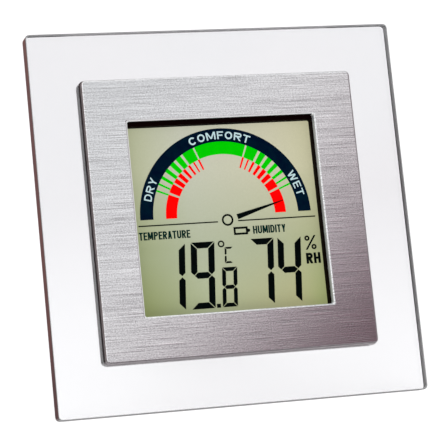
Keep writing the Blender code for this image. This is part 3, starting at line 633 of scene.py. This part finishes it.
def strip(bm, rows, closed=False):
    """Adds a thin solid along rows of two points that lie across it. A closed one meets itself."""
    ends = []
    for (x0, z0), (x1, z1) in rows:
        corners = (x0, 0, z0), (x1, 0, z1), (x1, PRINT_THICK, z1), (x0, PRINT_THICK, z0)
        ends.append([bm.verts.new(corner) for corner in corners])
    pairs = list(zip(ends, ends[1:]))
    if closed:
        pairs.append((ends[-1], ends[0]))
    else:
        bm.faces.new(ends[0])
        bm.faces.new(ends[-1])
    for a, b in pairs:
        for n in range(4):
            bm.faces.new((a[n], a[n - 1], b[n - 1], b[n]))


def ring_of(bm, centre, radii, start=0, end=360, step=3):
    """Adds a ring, or a piece of one, between two radii. Its angles are in degrees from the left
    over the top, and its rows are about step degrees apart."""
    closed = end - start >= 360
    count = max(1, round((end - start) / step))
    rows = []
    for n in range(count + (0 if closed else 1)):
        angle = math.radians(180 - start - (end - start) * n / count)
        way = Vector((math.cos(angle), math.sin(angle)))
        rows.append(tuple(Vector(centre) + way * radius for radius in radii))
    strip(bm, rows, closed)


def bar(x0, z0, x1, z1):
    return [(x0, z0), (x1, z0), (x1, z1), (x0, z1)]


def on_display(name, bm, material, layer=1):
    """Makes a piece of what was drawn, lying just in front of the display's glass. Each layer lies
    in front of the one before it."""
    bmesh.ops.recalc_face_normals(bm, faces=bm.faces)
    bmesh.ops.scale(bm, vec=(MM, MM, MM), verts=bm.verts)
    depth = LCD_FACE - (PRINT_THICK + LAYER_GAP) * MM * layer
    bmesh.ops.translate(bm, verts=bm.verts, vec=(0, depth, LCD_DROP))
    mesh = bpy.data.meshes.new(name)
    bm.to_mesh(mesh)
    bm.free()
    mesh.transform(DEVICE)
    mesh.materials.append(material)
    obj = bpy.data.objects.new(name, mesh)
    bpy.context.scene.collection.objects.link(obj)
    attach(obj, "case")


# Lettering: every letter is drawn in strokes of thickness t inside a cell w wide and h tall. A
# stroke is a list of rows, and a row is two points across the stroke. Level bars are a share of t
# thick, and the middle of the top or bottom one lies a share of t from the cell's edge.

LETTER_WIDTHS = {"I": 0.3, "M": 1.25, "W": 1.45, "E": 0.86, "F": 0.82, "T": 0.92}
BAR_SHARE = 0.85
BAR_INSET = 0.43
SAME_POINT = 0.01


def slab(x0, z0, x1, z1, t):
    """A straight stroke between two heights, with level ends. The points are its middle."""
    reach = math.hypot(x1 - x0, z1 - z0)
    half = t / 2 * reach / abs(z1 - z0)
    return [((x0 - half, z0), (x0 + half, z0)), ((x1 - half, z1), (x1 + half, z1))]


def beam(x0, x1, z, t):
    """A level bar whose middle is at height z."""
    half = t * BAR_SHARE / 2
    return [((x0, z - half), (x0, z + half)), ((x1, z - half), (x1, z + half))]


def bend_of(centre, radii, start, end, t, count=14):
    """A stroke along an ellipse, counterclockwise in degrees from the right. The radii, across and
    up, are its outline's."""
    rows = []
    for n in range(count + 1):
        angle = math.radians(start + (end - start) * n / count)
        rows.append(tuple((centre[0] + (radii[0] - inset) * math.cos(angle),
                           centre[1] + (radii[1] - inset) * math.sin(angle)) for inset in (t, 0)))
    return rows


def bowl(x, w, across, low, high, t):
    """A stroke from x at the height high to the right side of the cell, and back at the height low.
    Its bend is across wide."""
    deep = (high - low) / 2
    turn = bend_of((w - across, low + deep), (across, deep), -90, 90, t)
    return [((x, high - t), (x, high)), *reversed(turn), ((x, low + t), (x, low))]


def letter(name, w, h, t):
    """The strokes of a letter or of the percent sign."""
    left, right = slab(t / 2, 0, t / 2, h, t), slab(w - t / 2, 0, w - t / 2, h, t)
    centre, middle = w / 2, h / 2
    top, foot = h - t * BAR_INSET, t * BAR_INSET
    oval = (centre, middle)
    slope = t * 0.6 + (centre - t / 2) * 0.3
    bowl_low, bowl_across = h * 0.42, h * 0.29
    dot = h * 0.19
    return {
        "A": [slab(t * 0.6, 0, centre - t * 0.12, h, t),
              slab(w - t * 0.6, 0, centre + t * 0.12, h, t), beam(slope, w - slope, h * 0.3, t)],
        "C": [bend_of(oval, oval, 40, 320, t, 24)],
        "D": [left, bowl(t * 0.9, w, min(oval), 0, h, t)],
        "E": [left, beam(t, w, top, t), beam(t, w * 0.93, h * 0.52, t), beam(t, w, foot, t)],
        "F": [left, beam(t, w, top, t), beam(t, w * 0.9, middle, t)],
        "H": [left, right, beam(t, w - t, middle, t)],
        "I": [slab(centre, 0, centre, h, t)],
        "M": [left, right, slab(t * 0.75, h, centre, h * 0.12, t * 0.9),
              slab(w - t * 0.75, h, centre, h * 0.12, t * 0.9)],
        "O": [bend_of(oval, oval, 0, 360, t, 28)],
        "P": [left, bowl(t, w, bowl_across, bowl_low, h, t)],
        "R": [left, bowl(t, w, bowl_across, bowl_low, h, t),
              slab(centre, h * 0.45, w - t * 0.55, 0, t)],
        "T": [beam(0, w, top, t), slab(centre, h - t * 0.8, centre, 0, t)],
        "U": [[((t, h), (0, h)), *bend_of((centre, centre), (centre, centre), 180, 360, t, 18),
               ((w - t, h), (w, h))]],
        "W": [slab(t * 0.55, h, w * 0.27, 0, t), slab(w * 0.27, 0, centre, h * 0.96, t),
              slab(centre, h * 0.96, w * 0.73, 0, t), slab(w * 0.73, 0, w - t * 0.55, h, t)],
        "Y": [slab(t * 0.6, h, centre, h * 0.4, t), slab(w - t * 0.6, h, centre, h * 0.4, t),
              slab(centre, h * 0.45, centre, 0, t)],
        "%": [bend_of((dot, h - dot), (dot, dot), 0, 360, t, 16),
              bend_of((w - dot, dot), (dot, dot), 0, 360, t, 16), slab(w * 0.1, 0, w * 0.92, h, t)],
    }[name]


def finer(rows, parts=3):
    """Splits each step between rows, so that a long stroke can follow a curve."""
    made = [rows[0]]
    for a, b in zip(rows, rows[1:]):
        for n in range(1, parts + 1):
            made.append(tuple((p[0] + (q[0] - p[0]) * n / parts, p[1] + (q[1] - p[1]) * n / parts)
                              for p, q in zip(a, b)))
    return made


def lettering(bm, words, left, right, low, high, thick, gap, bend=None):
    """Adds letters that fill a rectangle, gap apart. bend, if given, maps their (x, z) points."""
    shares = [LETTER_WIDTHS.get(name, 1.0) for name in words]
    unit = (right - left - gap * (len(words) - 1)) / sum(shares)
    at = left
    for name, share in zip(words, shares):
        for stroke in letter(name, unit * share, high - low, thick):
            rows = [tuple((at + x, low + z) for x, z in row) for row in stroke]
            if bend:
                rows = [tuple(bend(x, z) for x, z in row) for row in finer(rows)]
            closed = math.dist(rows[0][0], rows[-1][0]) < SAME_POINT
            strip(bm, rows[:-1] if closed else rows, closed)
        at += unit * share + gap


# The comfort scale: radii of its bands, and angles in degrees from its left end over the top. The
# blocks are those of its left half.

ARC_CENTRE = (0.0, 0.65)
NAVY_BAND = (21.85, 25.75)
GREEN_BAND = (18.1, 21.85)
RED_BAND = (14.8, 18.1)
GREEN_BLOCKS = [(21.8, 23.2), (27.2, 28.8), (32.5, 35.0), (38.8, 42.0), (45.0, 49.1), (51.4, 56.2),
                (58.3, 67.9)]
GREEN_MAIN = (69.2, 110.8)
RED_BLOCKS = [(0, 22.9), (25.0, 33.8), (35.5, 40.1), (42.3, 46.4), (49.2, 52.2), (55.9, 58.2),
              (61.9, 63.5), (67.2, 69.0)]
# Each word, the angles it runs between, and its strokes' thickness.
SCALE_WORDS = [("DRY", 13.4, 30.0, 0.4), ("COMFORT", 67.4, 112.9, 0.46), ("WET", 150, 168.4, 0.42)]
WORD_RADII = (22.55, 24.85)
WORD_GAP = 0.5


def round_scale(x, z):
    """Wraps a straight line of letters round the scale: x runs along the navy band's middle from
    its left end, and z is the radius."""
    angle = math.pi - x / (sum(NAVY_BAND) / 2)
    return ARC_CENTRE[0] + z * math.cos(angle), ARC_CENTRE[1] + z * math.sin(angle)


def along_scale(degrees):
    """How far along the navy band's middle an angle lies."""
    return math.radians(degrees) * sum(NAVY_BAND) / 2


def both_halves(blocks):
    """The blocks and their mirror images in the scale's right half."""
    return blocks + [(180 - end, 180 - start) for start, end in blocks]


def blocks_of(radii, blocks):
    bm = bmesh.new()
    for start, end in blocks:
        ring_of(bm, ARC_CENTRE, radii, start, end, step=2)
    return bm


def comfort_scale():
    on_display("scale_band", blocks_of(NAVY_BAND, [(0, 180)]),
               ink("navy_ink", (0.0, 0.003, 0.014), (0.0, 0.011, 0.02)))
    on_display("scale_comfort", blocks_of(GREEN_BAND, both_halves(GREEN_BLOCKS) + [GREEN_MAIN]),
               ink("green_ink", (0.0, 0.5, 0.0), (0.002, 0.56, 0.0)))
    on_display("scale_discomfort", blocks_of(RED_BAND, both_halves(RED_BLOCKS)),
               ink("red_ink", (0.88, 0.0, 0.0), (0.95, 0.002, 0.002)))
    words = bmesh.new()
    for word, start, end, thick in SCALE_WORDS:
        lettering(words, word, along_scale(start), along_scale(end), *WORD_RADII, thick, WORD_GAP,
                  round_scale)
    on_display("scale_words", words, ink("pale_ink", (0.50, 0.66, 0.67), (0.40, 0.55, 0.58)),
               layer=2)


# Digits: the height of their top, their size, the thickness of their upright and level segments,
# and the gap at each segment's ends.

SLANT = 0.079
BIG = {"top": -6.7, "width": 7.1, "height": 19.3, "upright": 1.88, "level": 1.8, "gap": 0.16}
SMALL = {"top": -14.45, "width": 4.55, "height": 11.5, "upright": 1.15, "level": 1.15, "gap": 0.12}
UNIT = {"top": -8.6, "width": 2.45, "height": 4.7, "upright": 0.55, "level": 0.55, "gap": 0.1}
# Each digit's lit segments, its right side and its size: 19.8 and 74.
DIGITS = [("bc", -13.3, BIG), ("abcdfg", -4.5, BIG), ("abcdefg", 1.58, SMALL), ("abc", 13.4, BIG),
          ("bcfg", 21.75, BIG)]
DECIMAL_POINT = bar(-5.6, -26.0, -4.4, -24.85)
UNIT_C = ("adef", 0.85, UNIT)


def seven_segments(bm, lit, right, top, width, height, upright, level, gap):
    """Adds one slanted digit. lit names its segments: a top, b and c right, d bottom, e and f left,
    g middle. right and top place its upper right corner."""
    half = height / 2
    upper, lower = half + level / 2, half - level / 2
    far = width - upright
    shapes = {
        "a": [(gap, height), (width - gap, height), (far - gap, height - level),
              (upright + gap, height - level)],
        "g": [(upright / 2 + gap, half), (upright + gap, upper), (far - gap, upper),
              (width - upright / 2 - gap, half), (far - gap, lower), (upright + gap, lower)],
        "d": [(gap, 0), (upright + gap, level), (far - gap, level), (width - gap, 0)],
        "f": [(0, height - gap), (upright, height - level - gap), (upright, upper + gap),
              (upright / 2, half + gap), (0, upper + gap)],
        "b": [(width, height - gap), (width, upper + gap), (width - upright / 2, half + gap),
              (far, upper + gap), (far, height - level - gap)],
        "e": [(0, gap), (0, lower - gap), (upright / 2, half - gap), (upright, lower - gap),
              (upright, level + gap)],
        "c": [(width, gap), (far, level + gap), (far, lower - gap),
              (width - upright / 2, half - gap), (width, lower - gap)],
    }
    for name in lit:
        plate_of(bm, [(right - width + x + (z - height) * SLANT, top - height + z)
                      for x, z in shapes[name]])


def digits():
    bm = bmesh.new()
    for lit, right, size in DIGITS:
        seven_segments(bm, lit, right, **size)
    plate_of(bm, DECIMAL_POINT)
    return bm


# Signs: rings are a centre and radii. Words are their letters, left, right, low and high sides,
# stroke and gap.

DEGREE_RING = ((-2.55, -7.6), (0.58, 1.0))
HUB_RING = ((0.15, -0.7), (1.2, 1.74))
DIVIDING_LINES = [bar(-26.5, -1.28, -2.8, -0.93), bar(3.3, -1.28, 26.9, -0.93)]
BATTERY_LEFT, BATTERY_RIGHT, BATTERY_TIP = 1.65, 5.9, 6.6
BATTERY_LOW, BATTERY_HIGH, BATTERY_WALL = -5.25, -2.95, 0.58
BATTERY_TIP_LOW, BATTERY_TIP_HIGH = -4.4, -3.8
UNIT_WORDS = [("%", 22.85, 26.35, -10.9, -6.7, 0.5, 0.3),
              ("RH", 22.8, 27.2, -15.0, -11.85, 0.75, 0.3)]
CAPTIONS = [("TEMPERATURE", -26.6, -11.4, -5.2, -2.9, 0.46, 0.16),
            ("HUMIDITY", 7.5, 17.5, -5.2, -2.9, 0.46, 0.18)]
NEEDLE_BASE, NEEDLE_BASE_HALF = Vector((3.2, 0.05)), 0.78
NEEDLE_TIP, NEEDLE_TIP_HALF = Vector((17.6, 4.2)), 0.09


def battery_sign(bm):
    left, right, wall = BATTERY_LEFT, BATTERY_RIGHT, BATTERY_WALL
    low, high = BATTERY_LOW, BATTERY_HIGH
    plate_of(bm, bar(left, high - wall, right, high))
    plate_of(bm, bar(left, low, right, low + wall))
    plate_of(bm, bar(left, low + wall, left + wall, high - wall))
    plate_of(bm, [(right - wall, low + wall), (right, low + wall),
                  (BATTERY_TIP, BATTERY_TIP_LOW), (BATTERY_TIP, BATTERY_TIP_HIGH),
                  (right, high - wall), (right - wall, high - wall)])


def needle(bm):
    """A long wedge from beside the hub ring to the scale."""
    along = (NEEDLE_TIP - NEEDLE_BASE).normalized()
    across = Vector((-along.y, along.x))
    base, tip = across * NEEDLE_BASE_HALF, across * NEEDLE_TIP_HALF
    plate_of(bm, [NEEDLE_BASE - base, NEEDLE_TIP - tip, NEEDLE_TIP + tip, NEEDLE_BASE + base])


def signs():
    """Degree sign, letter C, hub ring, dividing line, battery, percent sign, RH and needle."""
    bm = bmesh.new()
    lit, right, size = UNIT_C
    seven_segments(bm, lit, right, **size)
    ring_of(bm, *DEGREE_RING, step=15)
    ring_of(bm, *HUB_RING, step=10)
    for line in DIVIDING_LINES:
        plate_of(bm, line)
    battery_sign(bm)
    for words in UNIT_WORDS:
        lettering(bm, *words)
    needle(bm)
    return bm


def captions():
    bm = bmesh.new()
    for words in CAPTIONS:
        lettering(bm, *words)
    return bm


def display():
    comfort_scale()
    black = ink("segment_ink", (0.0005, 0.001, 0.001), (0.001, 0.004, 0.004))
    on_display("digits", digits(), black, layer=2)
    on_display("signs", signs(), black, layer=3)
    on_display("captions", captions(),
               ink("caption_ink", (0.002, 0.016, 0.012), (0.004, 0.026, 0.02)))


dress_frame()
display()
floor()
studio()
camera()
